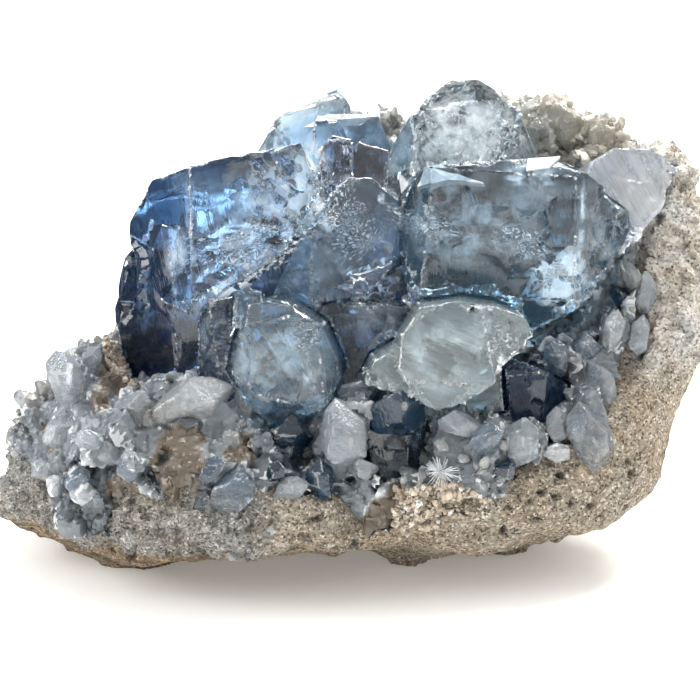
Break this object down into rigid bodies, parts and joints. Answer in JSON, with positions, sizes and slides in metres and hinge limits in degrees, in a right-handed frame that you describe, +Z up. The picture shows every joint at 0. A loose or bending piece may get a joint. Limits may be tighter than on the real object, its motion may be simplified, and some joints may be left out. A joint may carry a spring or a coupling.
{
  "type": "celestite geode",
  "caption": "Natural cluster of clear blue celestite crystals in the drusy hollow of a rough stone matrix, resting on the flat spots under the stone.",
  "frame": {"origin": "middle of the bounding box at the level of the flat spots that the stone rests on", "axes": "+X to the right along the longest side, +Y away from the front, +Z up, as the stone rests"},
  "size_m": [0.122, 0.086, 0.0813],
  "materials": {
    "stone": "matte",
    "druse": "satin",
    "clear_blue": "gloss",
    "deep_blue": "gloss",
    "pale_milky": "satin"
  },
  "bodies": {
    "root": {"matrix": "stone", "drusy_crust": "druse", "left_block_crystal": "clear_blue", "middle_crystal": "clear_blue", "right_block_crystal": "clear_blue", "right_wedge_crystal": "clear_blue", "top_crystal": "clear_blue", "back_crystal": "clear_blue", "front_centre_crystal": "clear_blue", "pale_front_crystal": "pale_milky", "dark_prism_crystal": "deep_blue", "centre_deep_crystal": "deep_blue", "upper_dark_crystal": "deep_blue", "navy_crystal": "deep_blue", "lower_dark_crystal": "deep_blue"}
  },
  "joints": []
}
